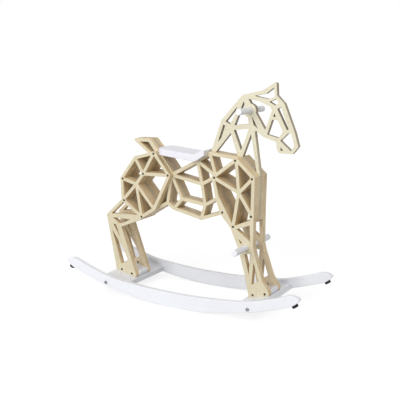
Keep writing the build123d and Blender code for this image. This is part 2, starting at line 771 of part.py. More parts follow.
# ---------------------------------------------------------------- rocker fasteners
with BuildPart() as rocker_bolts:
    with BuildSketch(Plane.XZ.offset(rocker_outer)):
        add(bores(rocker_bolt_places, rocker_bolt_head))
    extrude(amount=rocker_bolt_head_height)
    chamfer(rocker_bolts.edges().group_by(Axis.Y)[0], rocker_bolt_edge)
    with BuildSketch(Plane.XZ.offset(rocker_outer)):
        add(bores(rocker_bolt_places, rocker_bolt_diameter))
    extrude(amount=-rocker_ply - rocker_bolt_depth)
    with BuildSketch(Plane.XZ.offset(rocker_outer + rocker_bolt_head_height)):
        add(sockets(rocker_bolt_places))
    extrude(amount=-socket_depth, mode=Mode.SUBTRACT)
    mirror(about=Plane.XZ)
rocker_bolts.part.label = "rocker_bolts"

with BuildPart() as board_barrel_nuts:
    with BuildSketch(
        fore_board_plane.offset(board_barrel_depth), hind_board_plane.offset(board_barrel_depth)
    ):
        with Locations(*board_barrel_spots):
            Circle(barrel_diameter / 2)
    extrude(amount=-barrel_length)
    with BuildSketch(Plane.XZ):
        add(bores(rocker_bolt_places, rocker_bolt_diameter + 2 * thread_fit))
    extrude(amount=rocker_inner, both=True, mode=Mode.SUBTRACT)
board_barrel_nuts.part.label = "board_barrel_nuts"

with BuildPart() as board_pins:
    with BuildSketch(Plane.XZ.offset(rocker_inner + pin_grip)):
        add(bores(pin_places, pin_diameter))
    extrude(amount=-pin_length)
    mirror(about=Plane.XZ)
board_pins.part.label = "board_pins"

# ---------------------------------------------------------------- one file for each piece
export_step(core_sheet.part, "parts/core_sheet.step")
export_step(right_inner_sheet.part, "parts/right_inner_sheet.step")
export_step(left_inner_sheet.part, "parts/left_inner_sheet.step")
export_step(right_hind_sheet.part, "parts/right_hind_sheet.step")
export_step(left_hind_sheet.part, "parts/left_hind_sheet.step")
export_step(right_fore_sheet.part, "parts/right_fore_sheet.step")
export_step(left_fore_sheet.part, "parts/left_fore_sheet.step")
export_step(handle_rod.part, "parts/handle_rod.step")
export_step(foot_rest_rod.part, "parts/foot_rest_rod.step")
export_step(seat.part, "parts/seat.step")
export_step(right_rocker.part, "parts/right_rocker.step")
export_step(left_rocker.part, "parts/left_rocker.step")
export_step(fore_board.part, "parts/fore_board.step")
export_step(hind_board.part, "parts/hind_board.step")
export_step(fore_block.part, "parts/fore_block.step")
export_step(hind_block.part, "parts/hind_block.step")
export_step(bumpers.part, "parts/bumpers.step")
export_step(bumper_screws.part, "parts/bumper_screws.step")
export_step(body_bolts.part, "parts/body_bolts.step")
export_step(sleeve_nuts.part, "parts/sleeve_nuts.step")
export_step(hoof_screws.part, "parts/hoof_screws.step")
export_step(leg_bolts.part, "parts/leg_bolts.step")
export_step(leg_barrel_nuts.part, "parts/leg_barrel_nuts.step")
export_step(rocker_bolts.part, "parts/rocker_bolts.step")
export_step(board_barrel_nuts.part, "parts/board_barrel_nuts.step")
export_step(board_pins.part, "parts/board_pins.step")
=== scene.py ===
"""Looks of a plywood rocking horse: lattice sheets, painted boards, rubber bumpers, steel fittings.

Every length is in metres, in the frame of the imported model: +X the way the horse looks,
+Y its left side, +Z up, and the origin on the floor under the middle of the rockers.
"""

import json
import logging
from dataclasses import dataclass, field
from enum import Enum
from math import asin, cos, radians, sin

import bpy
from mathutils import Matrix, Vector

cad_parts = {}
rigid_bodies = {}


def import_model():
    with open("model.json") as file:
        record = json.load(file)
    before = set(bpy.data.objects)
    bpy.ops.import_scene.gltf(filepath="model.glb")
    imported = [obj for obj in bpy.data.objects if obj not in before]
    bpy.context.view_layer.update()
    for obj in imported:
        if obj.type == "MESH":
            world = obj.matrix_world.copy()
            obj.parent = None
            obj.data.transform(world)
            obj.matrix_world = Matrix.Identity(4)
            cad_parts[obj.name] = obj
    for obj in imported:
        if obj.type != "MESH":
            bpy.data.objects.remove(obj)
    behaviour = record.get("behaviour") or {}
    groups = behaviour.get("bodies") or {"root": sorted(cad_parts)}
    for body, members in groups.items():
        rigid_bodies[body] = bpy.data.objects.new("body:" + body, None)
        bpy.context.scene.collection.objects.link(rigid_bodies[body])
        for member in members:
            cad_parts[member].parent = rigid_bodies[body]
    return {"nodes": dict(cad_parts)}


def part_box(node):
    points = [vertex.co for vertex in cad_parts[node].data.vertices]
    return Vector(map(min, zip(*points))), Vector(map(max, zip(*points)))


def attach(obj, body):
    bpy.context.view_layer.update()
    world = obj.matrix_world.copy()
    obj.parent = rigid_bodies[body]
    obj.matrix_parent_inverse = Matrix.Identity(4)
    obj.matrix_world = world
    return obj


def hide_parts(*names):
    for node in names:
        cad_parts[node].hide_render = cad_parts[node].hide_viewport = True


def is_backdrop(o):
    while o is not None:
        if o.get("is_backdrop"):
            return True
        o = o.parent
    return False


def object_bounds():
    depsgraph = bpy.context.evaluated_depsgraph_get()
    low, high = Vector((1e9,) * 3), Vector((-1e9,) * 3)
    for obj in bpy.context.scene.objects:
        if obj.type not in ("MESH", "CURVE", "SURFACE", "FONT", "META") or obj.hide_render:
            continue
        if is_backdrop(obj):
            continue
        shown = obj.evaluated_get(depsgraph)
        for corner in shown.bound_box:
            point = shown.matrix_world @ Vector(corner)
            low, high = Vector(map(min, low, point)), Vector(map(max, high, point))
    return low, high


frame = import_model()

logging.basicConfig(level=logging.INFO, format="%(levelname)s %(message)s")
log = logging.getLogger("rocking_horse")

Colour = tuple[float, float, float, float]
Outline = tuple[tuple[float, float], ...]
BODY = "root"


class Cut(Enum):
    """What is done with a blank that is set against a piece."""

    SAW_OUT = "DIFFERENCE"
    GLUE_ON = "UNION"


Work = tuple[tuple[Cut, Outline, float], ...]


# ---------------------------------------------------------------- materials


class Grain(Enum):
    """The way the wood fibres run on a piece."""

    LENGTHWISE = "along X"
    CROSSWISE = "along Y"
    UPRIGHT = "along Z"


class Shader:
    """A material's node tree, filled from its texture coordinates to its output."""

    def __init__(self, name: str) -> None:
        """Starts an empty tree.

        Args:
            name: name of the material.
        """
        self.material = bpy.data.materials.new(name)
        self.material.use_nodes = True
        self.tree = self.material.node_tree
        self.tree.nodes.clear()
        self.place = self.node("ShaderNodeTexCoord").outputs

    def node(self, kind: str, inputs: dict | None = None, **options: object) -> bpy.types.Node:
        """Adds a node.

        Args:
            kind: Blender's name of the node's type.
            inputs: sockets by name or number, each with a value or a socket to link.
            options: the node's own settings.

        Returns:
            The node.
        """
        made = self.tree.nodes.new(kind)
        for name, value in options.items():
            setattr(made, name, value)
        for socket, value in (inputs or {}).items():
            if isinstance(value, bpy.types.NodeSocket):
                self.tree.links.new(value, made.inputs[socket])
            else:
                made.inputs[socket].default_value = value
        return made

    def math(self, operation: str, *values: object) -> bpy.types.NodeSocket:
        """Adds a sum.

        Args:
            operation: name of the sum, such as MULTIPLY.
            values: numbers or sockets that it takes.

        Returns:
            The socket with the result.
        """
        return self.node("ShaderNodeMath", dict(enumerate(values)), operation=operation).outputs[0]

    def step(self, value: object, low: float, high: float) -> bpy.types.NodeSocket:
        """Rises smoothly from 0 to 1.

        Args:
            value: number or socket that is read.
            low: value at which the result leaves 0.
            high: value at which the result reaches 1.

        Returns:
            The socket with the result.
        """
        inputs = {"Value": value, "From Min": low, "From Max": high}
        return self.node("ShaderNodeMapRange", inputs, interpolation_type="SMOOTHSTEP").outputs[0]

    def blend(self, share: object, first: object, second: object) -> bpy.types.NodeSocket:
        """Mixes two colours.

        Args:
            share: how much of the second colour there is, from 0 to 1.
            first: the first colour.
            second: the second colour.

        Returns:
            The socket with the mixed colour.
        """
        mixer = self.node("ShaderNodeMix", data_type="RGBA")
        for socket, value in ((0, share), (6, first), (7, second)):
            if isinstance(value, bpy.types.NodeSocket):
                self.tree.links.new(value, mixer.inputs[socket])
            else:
                mixer.inputs[socket].default_value = value
        return mixer.outputs[2]

    def stretched(self, scale: tuple[float, float, float]) -> bpy.types.NodeSocket:
        """Object coordinates with each axis multiplied.

        Args:
            scale: factors along X, Y and Z.

        Returns:
            The socket with the coordinates.
        """
        inputs = {"Vector": self.place["Object"], "Scale": scale}
        return self.node("ShaderNodeMapping", inputs).outputs[0]

    def noise(self, vector: object, scale: float, detail: float = 3.0) -> bpy.types.NodeSocket:
        """Adds a noise pattern.

        Args:
            vector: coordinates that it reads.
            scale: cells in a metre of those coordinates.
            detail: number of finer layers.

        Returns:
            The socket with the pattern, from 0 to 1.
        """
        inputs = {"Vector": vector, "Scale": scale, "Detail": detail}
        return self.node("ShaderNodeTexNoise", inputs).outputs["Fac"]

    def finish(self, bump: object, height: float, **sockets: object) -> bpy.types.Material:
        """Adds the surface shader and the output.

        Args:
            bump: socket with the height pattern, from 0 to 1.
            height: depth of that pattern.
            sockets: values or sockets for the surface shader, named with _ for a space.

        Returns:
            The finished material.
        """
        relief = self.node("ShaderNodeBump", {"Height": bump, "Distance": height, "Strength": 1.0})
        inputs = {name.replace("_", " "): value for name, value in sockets.items()}
        inputs["Normal"] = relief.outputs[0]
        surface = self.node("ShaderNodeBsdfPrincipled", inputs)
        self.node("ShaderNodeOutputMaterial", {"Surface": surface.outputs[0]})
        return self.material


def along(grain: Grain, long: float, wide: float) -> tuple[float, float, float]:
    """Scale factors of a pattern that is drawn out along the fibres.

    Args:
        grain: the way the fibres run.
        long: factor along the fibres.
        wide: factor across them.

    Returns:
        Factors along X, Y and Z.
    """
    if grain is Grain.LENGTHWISE:
        return (long, wide, wide)
    if grain is Grain.CROSSWISE:
        return (wide, long, wide)
    return (wide, wide, long)


@dataclass(frozen=True)
class Plywood:
    """Lacquered plywood: a pale face veneer, and an edge that shows its plies."""

    name: str
    grain: Grain
    inner: float  # face of the sheet nearer to the middle of the horse
    thickness: float
    plies: int
    folded: bool = True  # the same on both sides of the middle
    veneer_pale: Colour = (0.645, 0.590, 0.433, 1)
    veneer_warm: Colour = (0.575, 0.495, 0.328, 1)
    pore: Colour = (0.450, 0.350, 0.210, 1)
    ply_pale: Colour = (0.790, 0.655, 0.430, 1)
    ply_dark: Colour = (0.570, 0.395, 0.200, 1)
    glue: Colour = (0.230, 0.145, 0.075, 1)
    relief: float = 0.000012

    def make(self) -> bpy.types.Material:
        """Builds the material.

        Returns:
            The material.
        """
        shader = Shader(self.name)
        figure = shader.noise(shader.stretched(along(self.grain, 2.5, 14)), 1.0, 4)
        streaks = shader.noise(shader.stretched(along(self.grain, 12, 260)), 1.0, 3)
        pores = shader.noise(shader.stretched(along(self.grain, 90, 1500)), 1.0, 2)
        rings = shader.math("FRACT", shader.math("MULTIPLY", figure, 9.0))
        ring_edge = shader.step(rings, 0.62, 0.98)
        warmth = shader.math("ADD", shader.math("MULTIPLY", ring_edge, 0.35), shader.step(streaks, 0.35, 0.75))
        veneer = shader.blend(shader.math("MULTIPLY", warmth, 0.55), self.veneer_pale, self.veneer_warm)
        veneer = shader.blend(shader.math("MULTIPLY", shader.step(pores, 0.63, 0.74), 0.35), veneer, self.pore)

        axes = shader.node("ShaderNodeSeparateXYZ", {0: shader.place["Object"]}).outputs
        across = shader.math("ABSOLUTE", axes["Y"]) if self.folded else axes["Y"]
        depth = shader.math("MULTIPLY", shader.math("SUBTRACT", across, self.inner), self.plies / self.thickness)
        turn = shader.math("FLOORED_MODULO", shader.math("FLOOR", depth), 2.0)
        part = shader.math("ABSOLUTE", shader.math("SUBTRACT", shader.math("FRACT", depth), 0.5))
        end_grain = shader.noise(shader.place["Object"], 2600.0, 2)
        bands = shader.noise(shader.stretched((4, 190, 4)), 1.0, 2)
        cloud = shader.noise(shader.place["Object"], 34.0, 2)
        tone = shader.math("ADD", shader.math("MULTIPLY", turn, 0.35), shader.step(bands, 0.42, 0.62))
        tone = shader.math("MULTIPLY", tone, shader.step(cloud, 0.25, 0.65))
        plies = shader.blend(shader.math("MULTIPLY", tone, 0.75), self.ply_pale, self.ply_dark)
        plies = shader.blend(shader.math("MULTIPLY", shader.step(end_grain, 0.55, 0.75), shader.math("MULTIPLY", turn, 0.4)), plies, self.glue)
        plies = shader.blend(shader.math("MULTIPLY", shader.step(part, 0.40, 0.48), 0.45), plies, self.glue)
        last = shader.math("MINIMUM", depth, shader.math("SUBTRACT", float(self.plies), depth))
        plies = shader.blend(shader.math("MULTIPLY", 0.12, shader.math("SUBTRACT", 1.0, shader.step(last, 0.02, 0.30))), plies, self.glue)

        facing = shader.node("ShaderNodeSeparateXYZ", {0: shader.place["Normal"]}).outputs["Y"]
        face = shader.step(shader.math("ABSOLUTE", facing), 0.72, 0.92)
        colour = shader.blend(face, plies, veneer)
        bump = shader.math("ADD", shader.math("MULTIPLY", streaks, 0.6), shader.math("MULTIPLY", part, shader.math("SUBTRACT", 1.0, face)))
        roughness = shader.math("ADD", 0.46, shader.math("MULTIPLY", streaks, 0.22))
        return shader.finish(bump, self.relief, Base_Color=colour, Roughness=roughness, Coat_Weight=0.10, Coat_Roughness=0.45)


@dataclass(frozen=True)
class Paint:
    """Satin paint on wood, with the fibres just showing through."""

    name: str
    grain: Grain
    fresh: Colour = (0.800, 0.828, 0.885, 1)
    worn: Colour = (0.775, 0.790, 0.848, 1)
    relief: float = 0.000012

    def make(self) -> bpy.types.Material:
        """Builds the material.

        Returns:
            The material.
        """
        shader = Shader(self.name)
        fibres = shader.noise(shader.stretched(along(self.grain, 10, 320)), 1.0, 3)
        stipple = shader.noise(shader.place["Object"], 1400.0, 2)
        patches = shader.noise(shader.place["Object"], 9.0, 3)
        colour = shader.blend(shader.step(patches, 0.35, 0.75), self.fresh, self.worn)
        bump = shader.math("ADD", shader.math("MULTIPLY", fibres, 0.7), shader.math("MULTIPLY", stipple, 0.15))
        roughness = shader.math("ADD", 0.32, shader.math("MULTIPLY", stipple, 0.14))
        return shader.finish(bump, self.relief, Base_Color=colour, Roughness=roughness, Coat_Weight=0.25, Coat_Roughness=0.30)


@dataclass(frozen=True)
class Rubber:
    """Matt moulded rubber with a little bloom."""

    name: str
    black: Colour = (0.010, 0.010, 0.011, 1)
    bloom: Colour = (0.035, 0.034, 0.033, 1)
    relief: float = 0.00006

    def make(self) -> bpy.types.Material:
        """Builds the material.

        Returns:
            The material.
        """
        shader = Shader(self.name)
        skin = shader.noise(shader.place["Object"], 1800.0, 2)
        clouds = shader.noise(shader.place["Object"], 120.0, 3)
        colour = shader.blend(shader.step(clouds, 0.40, 0.75), self.black, self.bloom)
        roughness = shader.math("ADD", 0.58, shader.math("MULTIPLY", clouds, 0.2))
        return shader.finish(skin, self.relief, Base_Color=colour, Roughness=roughness, Specular_IOR_Level=0.2)


@dataclass(frozen=True)
class Steel:
    """Turned steel with a plated or blackened skin."""

    name: str
    skin: Colour
    rubbed: Colour
    roughness: float
    relief: float = 0.00004

    def make(self) -> bpy.types.Material:
        """Builds the material.

        Returns:
            The material.
        """
        shader = Shader(self.name)
        turned = shader.noise(shader.stretched((300, 2400, 300)), 1.0, 2)
        stains = shader.noise(shader.place["Object"], 260.0, 3)
        colour = shader.blend(shader.step(stains, 0.42, 0.70), self.skin, self.rubbed)
        roughness = shader.math("ADD", self.roughness, shader.math("MULTIPLY", turned, 0.2))
        return shader.finish(turned, self.relief, Base_Color=colour, Roughness=roughness, Metallic=1.0)


@dataclass(frozen=True)
class Beech:
    """Bare beech with its short dark flecks."""

    name: str
    pale: Colour = (0.640, 0.430, 0.260, 1)
    dark: Colour = (0.500, 0.300, 0.160, 1)
    fleck: Colour = (0.300, 0.160, 0.080, 1)
    relief: float = 0.00008

    def make(self) -> bpy.types.Material:
        """Builds the material.

        Returns:
            The material.
        """
        shader = Shader(self.name)
        streaks = shader.noise(shader.stretched(along(Grain.CROSSWISE, 20, 400)), 1.0, 3)
        flecks = shader.noise(shader.stretched(along(Grain.CROSSWISE, 350, 1800)), 1.0, 1)
        colour = shader.blend(streaks, self.pale, self.dark)
        colour = shader.blend(shader.step(flecks, 0.66, 0.74), colour, self.fleck)
        return shader.finish(streaks, self.relief, Base_Color=colour, Roughness=0.6)


# ---------------------------------------------------------------- mesh work


def select_only(piece: bpy.types.Object) -> None:
    """Leaves one object selected and active.

    Args:
        piece: the object.
    """
    bpy.ops.object.select_all(action="DESELECT")
    piece.select_set(True)
    bpy.context.view_layer.objects.active = piece


def dress(piece: bpy.types.Object, material: bpy.types.Material) -> None:
    """Gives a whole piece one material.

    Args:
        piece: the object.
        material: what it is finished with.
    """
    piece.data.materials.clear()
    piece.data.materials.append(material)


def merged(piece: bpy.types.Object) -> None:
    """Welds a mesh's loose triangles, and joins those that lie in one plane.

    Args:
        piece: the object.
    """
    select_only(piece)
    bpy.ops.object.mode_set(mode="EDIT")
    bpy.ops.mesh.select_all(action="SELECT")
    bpy.ops.mesh.remove_doubles(threshold=1e-6)
    bpy.ops.mesh.dissolve_limited(angle_limit=radians(0.5))
    bpy.ops.object.mode_set(mode="OBJECT")


def blank(outline: Outline, half: float) -> bpy.types.Object:
    """Cuts a flat blank in the plane of the sheets.

    Args:
        outline: its corners, as X and Z.
        half: how far it reaches to each side of the middle.

    Returns:
        The blank.
    """
    bpy.ops.object.select_all(action="DESELECT")
    bpy.ops.mesh.primitive_circle_add(vertices=len(outline), fill_type="NGON")
    piece = bpy.context.active_object
    for vertex, (x, z) in zip(piece.data.vertices, outline):
        vertex.co = (x, -half, z)
    bpy.ops.object.mode_set(mode="EDIT")
    bpy.ops.mesh.select_all(action="SELECT")
    bpy.ops.mesh.extrude_region_move(TRANSFORM_OT_translate={"value": (0, 2 * half, 0)})
    bpy.ops.mesh.select_all(action="SELECT")
    bpy.ops.mesh.normals_make_consistent(inside=False)
    bpy.ops.object.mode_set(mode="OBJECT")
    return piece


def carved(piece: bpy.types.Object, tool: bpy.types.Object, cut: Cut) -> None:
    """Saws a blank out of a piece, or glues it on, and uses the blank up.

    Args:
        piece: the object that is worked on.
        tool: the blank.
        cut: what is done with it.
    """
    select_only(piece)
    work = piece.modifiers.new("work", "BOOLEAN")
    work.operation = cut.value
    work.object = tool
    work.solver = "EXACT"
    bpy.ops.object.modifier_apply(modifier=work.name)
    bpy.data.objects.remove(tool, do_unlink=True)
    merged(piece)


def eased(node: str, width: float, sharp: float = 35.0, segments: int = 2, work: Work = ()) -> bpy.types.Object:
    """Copies a node of the model and sands its sharp edges round.

    Args:
        node: name of the node, which the copy stands for.
        width: width of the rounding.
        sharp: least turn, in degrees, of an edge that is rounded.
        segments: facets across the rounding.
        work: blanks that are sawn out or glued on first.

    Returns:
        The sanded copy.
    """
    piece = bpy.data.objects.new(f"{node}_sanded", frame["nodes"][node].data.copy())
    bpy.context.scene.collection.objects.link(piece)
    merged(piece)
    for cut, outline, half in work:
        carved(piece, blank(outline, half), cut)
    select_only(piece)
    rounding = piece.modifiers.new("rounding", "BEVEL")
    rounding.width = width
    rounding.segments = segments
    rounding.limit_method = "ANGLE"
    rounding.angle_limit = radians(sharp)
    rounding.use_clamp_overlap = False
    rounding.loop_slide = False
    bpy.ops.object.modifier_apply(modifier=rounding.name)
    bpy.ops.object.shade_smooth_by_angle(angle=radians(sharp))
    weighting = piece.modifiers.new("weighting", "WEIGHTED_NORMAL")
    weighting.keep_sharp = True
    bpy.ops.object.modifier_apply(modifier=weighting.name)
    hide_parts(node)
    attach(piece, BODY)
    return piece


# ---------------------------------------------------------------- sub-assemblies


@dataclass
class LatticeBody:
    """The five-ply stack of lattice sheets: one with the head, two inner, and four with legs."""

    rounding: float = 0.0006
    core_thickness: float = 0.015
    leg_thickness: float = 0.018
    core_plies: int = 11
    leg_plies: int = 13
    # Ahead of neck_from and above neck_above, the middle sheet's cut edges get painted shade.
    neck_from: float = 0.060  # the neck and head lie ahead of this
    neck_above: float = 0.452  # and above this
    saw_reach: float = 0.010  # how far the saw cuts reach to each side of the middle
    # The lower windows of the neck run down to the top edge of the body ...
    withers_window: Outline = (
        (0.073380, 0.448850), (0.143380, 0.442220), (0.141000, 0.449000), (0.121000, 0.480000), (0.076000, 0.452000),
    )
    chest_window: Outline = (
        (0.159322, 0.439737), (0.161000, 0.444000), (0.180000, 0.440000), (0.203000, 0.406000), (0.204090, 0.399940),
    )
    # ... and the strut down the throat stands on the corner of the chest.
    throat_foot: Outline = (
        (0.201920, 0.412000), (0.212634, 0.412000), (0.213848, 0.404000), (0.215000, 0.388000), (0.206240, 0.388000),
    )
    # The front legs grow narrow down to the fetlock and widen again into the hoof.
    shin_waste: Outline = (
        (0.213500, 0.189600), (0.218500, 0.166000), (0.244500, 0.093000), (0.263500, 0.066300),
        (0.270000, 0.068000), (0.255000, 0.120000), (0.225000, 0.189600),
    )
    shin_reach: float = 0.050
    # Leg faces closer to the middle than this get painted bounce light.
    bounce_light_within: float = 0.030
    inner_sheets: list[str] = field(default_factory=lambda: ["right_inner_sheet", "left_inner_sheet"])
    hind_sheets: list[str] = field(default_factory=lambda: ["right_hind_sheet", "left_hind_sheet"])
    fore_sheets: list[str] = field(default_factory=lambda: ["right_fore_sheet", "left_fore_sheet"])

    def core_finish(self, name: str, ply_pale: Colour, ply_dark: Colour) -> Plywood:
        """Plywood of the middle sheet. Its veneer is paler and greener than the other sheets': painted light on the
        head, which stands highest.

        Args:
            name: name of the finish.
            ply_pale: the lighter plies on its cut edges.
            ply_dark: the darker plies.

        Returns:
            The finish.
        """
        return Plywood(
            name,
            Grain.LENGTHWISE,
            -self.core_thickness / 2,
            self.core_thickness,
            self.core_plies,
            folded=False,
            # Paler, greener veneer than the other sheets: painted light on the head.
            veneer_pale=(0.670, 0.640, 0.500, 1),
            veneer_warm=(0.610, 0.560, 0.410, 1),
            ply_pale=ply_pale,
            ply_dark=ply_dark,
        )

    def shade_head_edges(self, sheet: bpy.types.Object) -> None:
        """Paints shade onto the cut edges of the neck and head, with a darker finish there.

        Args:
            sheet: the middle sheet.
        """
        # These darker ply colours are painted shade on the head's cut edges.
        finish = self.core_finish("plywood_head_painted_shade", (0.420, 0.365, 0.270, 1), (0.300, 0.235, 0.155, 1))
        sheet.data.materials.append(finish.make())
        for face in sheet.data.polygons:
            if abs(face.normal.y) < 0.9 and face.center.x > self.neck_from and face.center.z > self.neck_above:
                face.material_index = 1

    def warm_lit_inner_face(self, sheet: bpy.types.Object, outside: bpy.types.Material, inside: bpy.types.Material) -> None:
        """Gives a leg sheet its finish, with painted bounce light on its inner face: a brighter, redder veneer there.

        Args:
            sheet: a sheet that carries a leg.
            outside: the finish of the outer face and the edges.
            inside: the finish of the face towards the other leg, which paints warm bounce light into its shade.
        """
        dress(sheet, outside)
        sheet.data.materials.append(inside)
        for face in sheet.data.polygons:
            if abs(face.normal.y) > 0.9 and abs(face.center.y) < self.bounce_light_within:
                face.material_index = 1

    def inner_finish(self) -> Plywood:
        """Plywood of the sheets beside the middle one."""
        return Plywood("plywood_inner", Grain.LENGTHWISE, self.core_thickness / 2, self.core_thickness, self.core_plies)

    def leg_finish(self) -> Plywood:
        """Plywood of the sheets that carry the legs."""
        return Plywood("plywood_leg", Grain.UPRIGHT, 1.5 * self.core_thickness, self.leg_thickness, self.leg_plies)

    def bounce_light_finish(self) -> Plywood:
        """Painted bounce light: a brighter, redder veneer on the shaded inner faces of the legs."""
        return Plywood(
            "plywood_leg_painted_bounce_light",
            Grain.UPRIGHT,
            1.5 * self.core_thickness,
            self.leg_thickness,
            self.leg_plies,
            veneer_pale=(0.715, 0.612, 0.440, 1),
            veneer_warm=(0.640, 0.515, 0.335, 1),
        )

    def build(self) -> None:
        """Sands and finishes all seven sheets."""
        neck = (
            (Cut.SAW_OUT, self.withers_window, self.saw_reach),
            (Cut.SAW_OUT, self.chest_window, self.saw_reach),
            (Cut.GLUE_ON, self.throat_foot, self.core_thickness / 2),
        )
        core = eased("core_sheet", self.rounding, work=neck)
        # The middle sheet's darker ply colours are painted shade on its cut edges, which lie deep in the stack.
        dress(core, self.core_finish("plywood_core", (0.620, 0.545, 0.400, 1), (0.440, 0.330, 0.200, 1)).make())
        self.shade_head_edges(core)
        inner = self.inner_finish().make()
        for name in self.inner_sheets:
            dress(eased(name, self.rounding), inner)
        # The second finish paints warm bounce light on the legs' shaded inner faces.
        leg, bounce_light = self.leg_finish().make(), self.bounce_light_finish().make()
        for name in self.hind_sheets:
            self.warm_lit_inner_face(eased(name, self.rounding), leg, bounce_light)
        shins = ((Cut.SAW_OUT, self.shin_waste, self.shin_reach),)
        for name in self.fore_sheets:
            self.warm_lit_inner_face(eased(name, self.rounding, work=shins), leg, bounce_light)
        log.info("lattice body: %d sheets", 1 + len(self.inner_sheets) + len(self.hind_sheets) + len(self.fore_sheets))


@dataclass
class PaintedWood:
    """The white pieces: seat, rockers, cross boards, hoof blocks and dowels."""

    seat_rounding: float = 0.0020
    rocker_rounding: float = 0.0006
    board_rounding: float = 0.0006
    rockers: list[str] = field(default_factory=lambda: ["right_rocker", "left_rocker"])
    boards: list[str] = field(default_factory=lambda: ["fore_board", "hind_board"])
    blocks: list[str] = field(default_factory=lambda: ["fore_block", "hind_block"])
    dowels: list[str] = field(default_factory=lambda: ["handle_rod", "foot_rest_rod"])

    def build(self) -> None:
        """Sands and paints the seat, rockers, boards and blocks, and paints the dowels as they are."""
        lengthwise = Paint("paint_lengthwise", Grain.LENGTHWISE).make()
        crosswise = Paint("paint_crosswise", Grain.CROSSWISE).make()
        # The seat's paint is darker and more lilac than the other white pieces: painted shade on its up-facing top.
        shaded_seat_paint = Paint("paint_seat_painted_shade", Grain.LENGTHWISE, fresh=(0.765, 0.760, 0.830, 1), worn=(0.725, 0.710, 0.785, 1)).make()
        dress(eased("seat", self.seat_rounding, segments=3), shaded_seat_paint)
        for name in self.rockers:
            dress(eased(name, self.rocker_rounding, sharp=30.0), lengthwise)
        for name in self.boards + self.blocks:
            dress(eased(name, self.board_rounding, sharp=30.0), crosswise)
        for name in self.dowels:
            dress(frame["nodes"][name], crosswise)
        log.info("painted wood: seat, rockers, boards, blocks and dowels")


@dataclass
class Bumpers:
    """The four rubber stops under the ends of the rockers."""

    rolling_radius: float = 1.030
    rolling_reach: float = 0.368
    tip_radius: float = 0.050
    tip_turn: float = 12.0  # degrees round the curve under a rocker's tip
    radius: float = 0.009
    height: float = 0.007
    recess_radius: float = 0.0037
    recess_depth: float = 0.0035
    rim: float = 0.0016

    def place(self, way: int, side: int) -> Matrix:
        """Where a bumper's top sits, with Z towards the centre of the rolling curve.

        Args:
            way: 1 at the head's end and -1 at the tail's.
            side: 1 on the left and -1 on the right.

        Returns:
            The bumper's place and turn.
        """
        rolling = asin(self.rolling_reach / self.rolling_radius)
        tip = radians(self.tip_turn)
        spot = Matrix.Rotation(-rolling, 3, "Y") @ Vector((sin(tip), 0, 1 - cos(tip))) * self.tip_radius
        spot += Vector((self.rolling_reach, 0, self.rolling_radius * (1 - cos(rolling))))
        row = side * (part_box("bumpers")[1].y - self.radius)
        return Matrix.Translation((way * spot.x, row, spot.z)) @ Matrix.Rotation(-way * (rolling + tip), 4, "Y")

    def shape(self, name: str, place: Matrix) -> bpy.types.Object:
        """Models one bumper: a turned disc with a rounded rim and a screw recess.

        Args:
            name: name of the piece.
            place: where its top sits.

        Returns:
            The bumper.
        """
        bpy.ops.object.select_all(action="DESELECT")
        bpy.ops.mesh.primitive_cylinder_add(vertices=64, radius=self.radius, depth=self.height, location=(0, 0, -self.height / 2))
        piece = bpy.context.active_object
        piece.name = name
        bpy.ops.object.transform_apply(location=True, rotation=True, scale=True)
        bpy.ops.object.mode_set(mode="EDIT")
        bpy.ops.mesh.select_mode(type="FACE")
        bpy.ops.mesh.select_all(action="DESELECT")
        bpy.ops.object.mode_set(mode="OBJECT")
        for face in piece.data.polygons:
            face.select = face.normal.z < -0.9
        bpy.ops.object.mode_set(mode="EDIT")
        bpy.ops.mesh.bevel(offset=self.rim, segments=5, affect="EDGES")
        bpy.ops.object.mode_set(mode="OBJECT")
        for face in piece.data.polygons:
            face.select = face.normal.z < -0.99 and len(face.vertices) > 8
        bpy.ops.object.mode_set(mode="EDIT")
        bpy.ops.mesh.inset(thickness=self.radius - self.rim - self.recess_radius - 0.0006)
        bpy.ops.mesh.inset(thickness=0.0006, depth=-0.0006)
        bpy.ops.mesh.extrude_region_move(TRANSFORM_OT_translate={"value": (0, 0, self.recess_depth - 0.0006)})
        bpy.ops.object.mode_set(mode="OBJECT")
        bpy.ops.object.shade_smooth_by_angle(angle=radians(40))
        piece.data.transform(place)
        return piece

    def build(self) -> None:
        """Models, finishes and seats the four bumpers."""
        finish = Rubber("rubber").make()
        pieces = []
        for way, end in ((1, "fore"), (-1, "hind")):
            for side, hand in ((1, "left"), (-1, "right")):
                pieces.append(self.shape(f"{end}_{hand}_bumper", self.place(way, side)))
        for piece in pieces:
            dress(piece, finish)
            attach(piece, BODY)
            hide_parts("bumpers")
        log.info("bumpers: %d", len(pieces))


@dataclass
class Fittings:
    """Bolts, screws, nuts and pins, which keep the model's own shapes."""

    blackened: list[str] = field(default_factory=lambda: ["body_bolts", "sleeve_nuts", "hoof_screws", "leg_bolts", "bumper_screws"])
    plated: list[str] = field(default_factory=lambda: ["rocker_bolts", "leg_barrel_nuts", "board_barrel_nuts"])
    wooden: list[str] = field(default_factory=lambda: ["board_pins"])

    def build(self) -> None:
        """Finishes each fitting."""
        black = Steel("blackened_steel", (0.058, 0.058, 0.046, 1), (0.100, 0.098, 0.080, 1), 0.42).make()
        zinc = Steel("plated_steel", (0.260, 0.262, 0.275, 1), (0.360, 0.360, 0.370, 1), 0.34).make()
        wood = Beech("beech").make()
        for names, finish in ((self.blackened, black), (self.plated, zinc), (self.wooden, wood)):
            for name in names:
                dress(frame["nodes"][name], finish)
        log.info("fittings: %d nodes", len(self.blackened) + len(self.plated) + len(self.wooden))


# ---------------------------------------------------------------- studio


